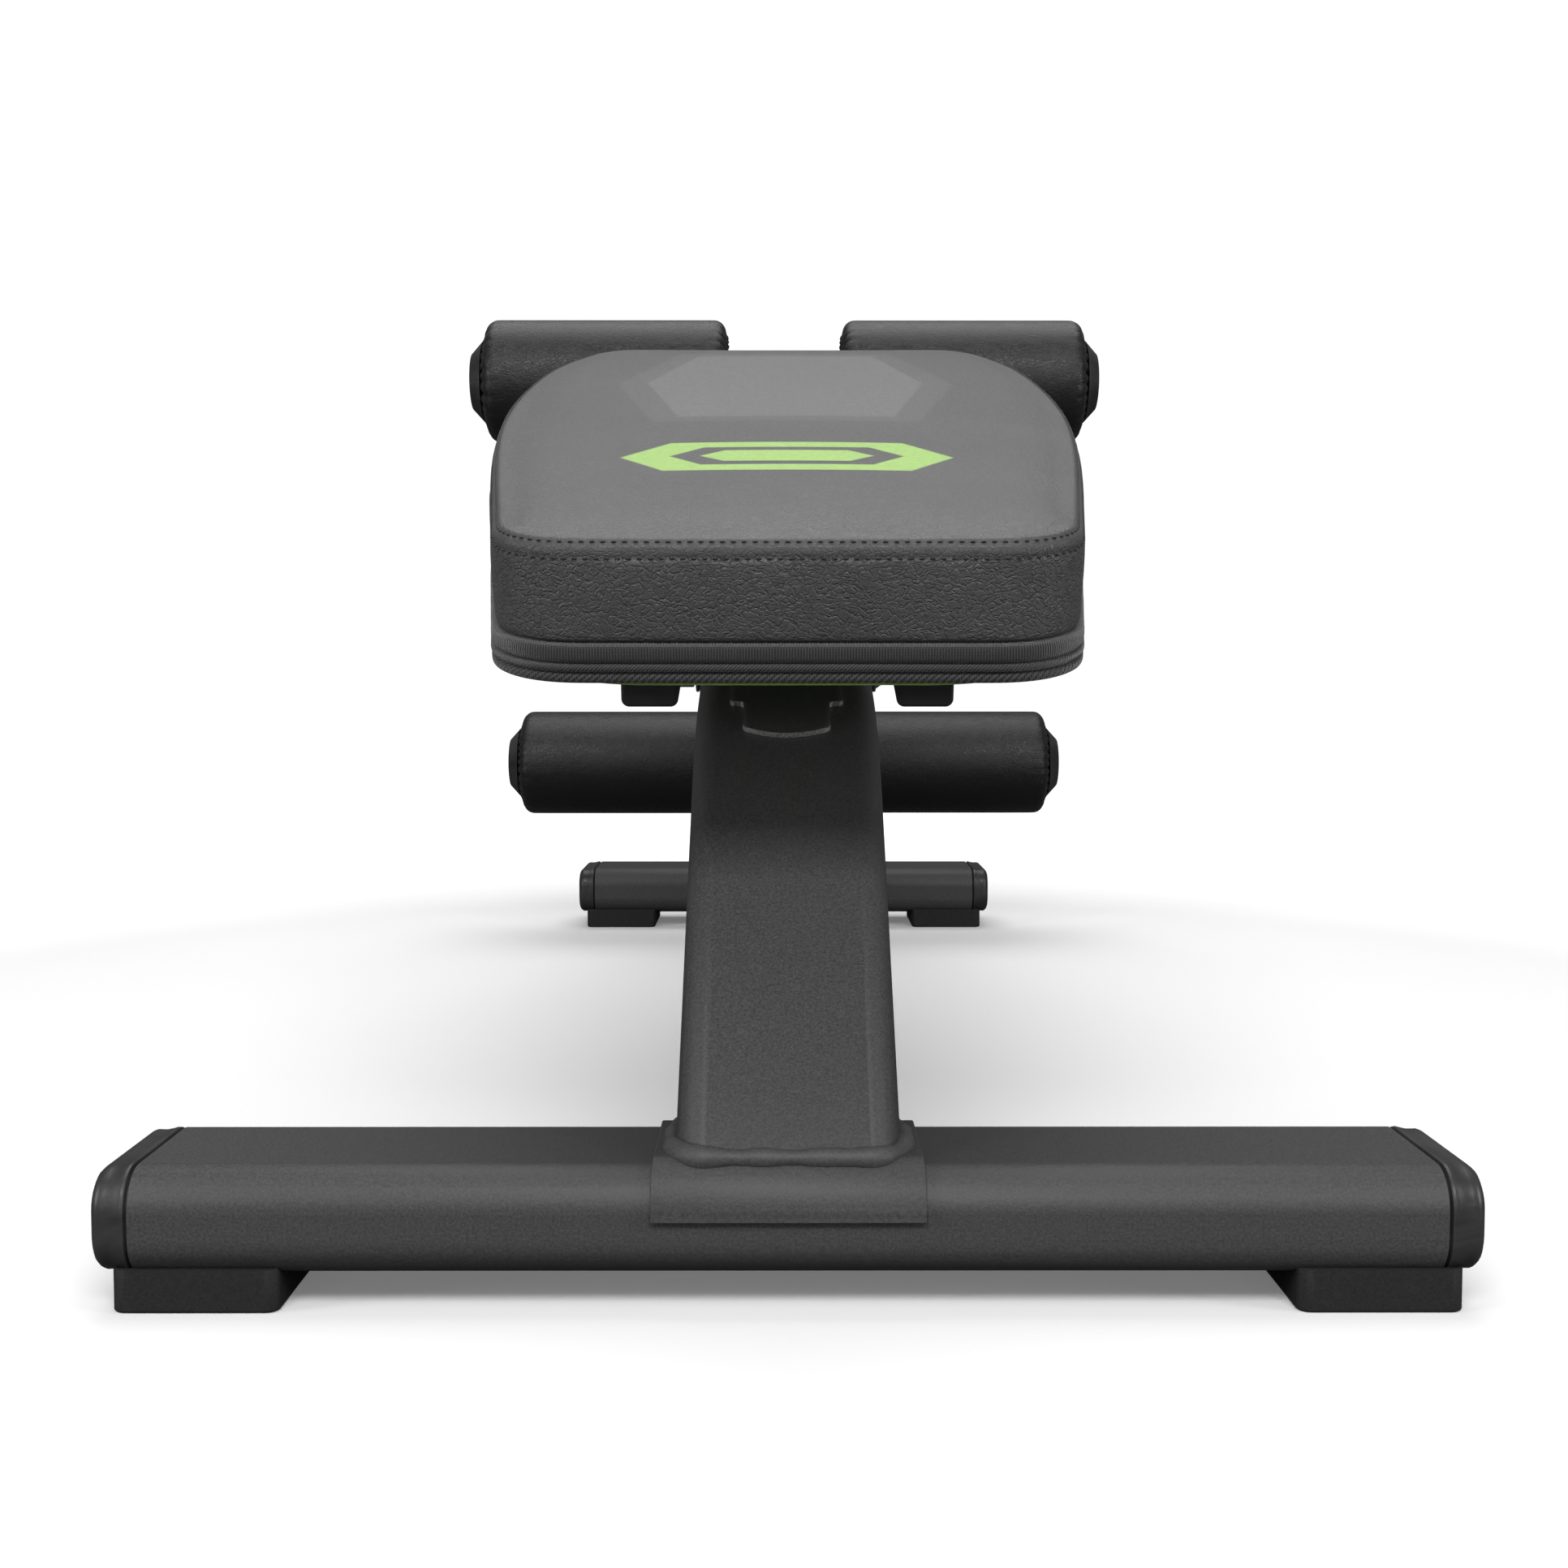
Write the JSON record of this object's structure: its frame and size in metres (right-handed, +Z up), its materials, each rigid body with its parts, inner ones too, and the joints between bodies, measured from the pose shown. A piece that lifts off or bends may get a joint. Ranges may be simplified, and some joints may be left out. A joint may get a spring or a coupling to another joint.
{
  "type": "decline sit up bench",
  "caption": "Decline sit-up bench: tapered padded back board that tilts on a bent tube frame, leaning post with foam knee and ankle rollers, stabiliser feet.",
  "frame": {"origin": "on the floor, midway between the two stabiliser feet and on the bench's centreline", "axes": "+Z up, +Y from the head end (rear foot) to the roller end (front foot), +X to the right seen from the head end"},
  "size_m": [0.6, 1.333, 0.574],
  "materials": {
    "frame_paint": "matte",
    "end_cap_plastic": "satin",
    "foot_rubber": "matte",
    "fastener_zinc": "satin",
    "axle_steel": "satin",
    "spacer_plastic": "satin",
    "roller_leather": "satin",
    "roller_foam": "matte",
    "pad_leather": "satin",
    "band_fabric": "matte",
    "board_lime": "satin",
    "knob_plastic": "satin"
  },
  "bodies": {
    "frame": {"rear_stabiliser_tube": "frame_paint", "rear_saddle_plate": "frame_paint", "rear_saddle_bolts": "fastener_zinc", "rear_end_cap_left": "end_cap_plastic", "rear_foot_left": "foot_rubber", "rear_end_cap_right": "end_cap_plastic", "rear_foot_right": "foot_rubber", "front_stabiliser_tube": "frame_paint", "front_saddle_plate": "frame_paint", "front_saddle_bolts": "fastener_zinc", "front_end_cap_left": "end_cap_plastic", "front_foot_left": "foot_rubber", "front_end_cap_right": "end_cap_plastic", "front_foot_right": "foot_rubber", "main_frame_tube": "frame_paint", "leg_tongue_plate": "frame_paint", "hinge_bracket": "frame_paint", "hinge_pin": "fastener_zinc", "post_mount_bracket": "frame_paint", "beam_post_bolts": "fastener_zinc", "front_post_tube": "frame_paint", "post_guide_sleeve": "end_cap_plastic", "post_clamp_boss": "frame_paint", "ankle_axle": "axle_steel", "ankle_end_cap_left": "end_cap_plastic", "ankle_end_cap_right": "end_cap_plastic", "ankle_spacers": "spacer_plastic", "tilt_clamp_bolt": "fastener_zinc", "tilt_clamp_spacers": "fastener_zinc"},
    "back_pad": {"pad_foam": "roller_foam", "pad_cushion": "pad_leather", "pad_side_band": "band_fabric", "pad_base_board": "board_lime", "pad_rail_left": "frame_paint", "pad_rail_right": "frame_paint", "pad_rail_plugs": "end_cap_plastic", "pad_cross_straps": "frame_paint", "pad_screws": "fastener_zinc", "hinge_bushes": "spacer_plastic", "tilt_sector_left": "frame_paint", "tilt_sector_right": "frame_paint"},
    "knee_post": {"knee_post_tube": "frame_paint", "knee_cross_sleeve": "frame_paint", "knee_post_bush": "end_cap_plastic", "knee_axle": "axle_steel", "knee_end_cap_left": "end_cap_plastic", "knee_end_cap_right": "end_cap_plastic", "knee_spacers": "spacer_plastic"},
    "knee_roller_left": {"knee_roller_left_foam": "roller_foam", "knee_roller_left_cover": "roller_leather"},
    "knee_roller_right": {"knee_roller_right_foam": "roller_foam", "knee_roller_right_cover": "roller_leather"},
    "ankle_roller_left": {"ankle_roller_left_foam": "roller_foam", "ankle_roller_left_cover": "roller_leather"},
    "ankle_roller_right": {"ankle_roller_right_foam": "roller_foam", "ankle_roller_right_cover": "roller_leather"},
    "tilt_knob": {"tilt_knob": "knob_plastic", "tilt_knob_insert": "fastener_zinc"},
    "post_knob": {"post_knob": "knob_plastic", "post_clamp_screw": "fastener_zinc"}
  },
  "joints": [
    {"name": "pad_tilt", "type": "hinge", "parent": "frame", "child": "back_pad", "pos_m": [0, 0.0181, 0.425], "axis": [-1, 0, 0], "range_deg": [0, 15.5]},
    {"name": "knee_post_slide", "type": "slide", "parent": "frame", "child": "knee_post", "axis": [0, -0.6428, 0.766], "range_m": [0, 0.1]},
    {"name": "knee_roller_left_spin", "type": "hinge", "parent": "knee_post", "child": "knee_roller_left", "pos_m": [0, 0.2225, 0.522], "axis": [1, 0, 0], "continuous": true},
    {"name": "knee_roller_right_spin", "type": "hinge", "parent": "knee_post", "child": "knee_roller_right", "pos_m": [0, 0.2225, 0.522], "axis": [1, 0, 0], "continuous": true},
    {"name": "ankle_roller_left_spin", "type": "hinge", "parent": "frame", "child": "ankle_roller_left", "pos_m": [0, 0.51143, 0.17766], "axis": [1, 0, 0], "continuous": true},
    {"name": "ankle_roller_right_spin", "type": "hinge", "parent": "frame", "child": "ankle_roller_right", "pos_m": [0, 0.51143, 0.17766], "axis": [1, 0, 0], "continuous": true},
    {"name": "tilt_knob_turn", "type": "hinge", "parent": "frame", "child": "tilt_knob", "pos_m": [0, -0.26339, 0.27627], "axis": [-1, 0, 0], "range_deg": [0, 360]},
    {"name": "post_knob_turn", "type": "hinge", "parent": "frame", "child": "post_knob", "pos_m": [0, 0.30976, 0.46468], "axis": [0, 0.766, 0.6428], "range_deg": [0, 360]}
  ]
}
